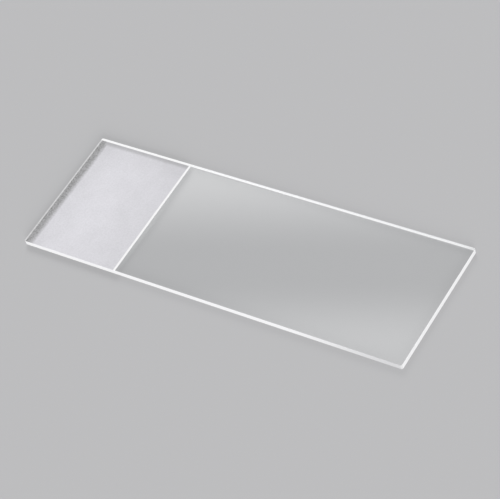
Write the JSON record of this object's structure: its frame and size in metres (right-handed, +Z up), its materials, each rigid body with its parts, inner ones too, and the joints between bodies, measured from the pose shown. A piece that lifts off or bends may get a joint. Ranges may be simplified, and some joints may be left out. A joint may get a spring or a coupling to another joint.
{
  "type": "microscope slide",
  "caption": "Flat rectangular glass slide with square ground edges, seamed rims and a frosted writing panel across one end.",
  "frame": {"origin": "middle of the underside, on the surface that the slide lies on", "axes": "+X along the slide away from its frosted end, +Y across its width, +Z up through its thickness"},
  "size_m": [0.075, 0.025, 0.001],
  "materials": {
    "glass": "colourless soda-lime glass: polished faces, ground matt edges, one end of the upper face frosted"
  },
  "bodies": {
    "root": {"glass_slide": "glass"}
  },
  "joints": []
}
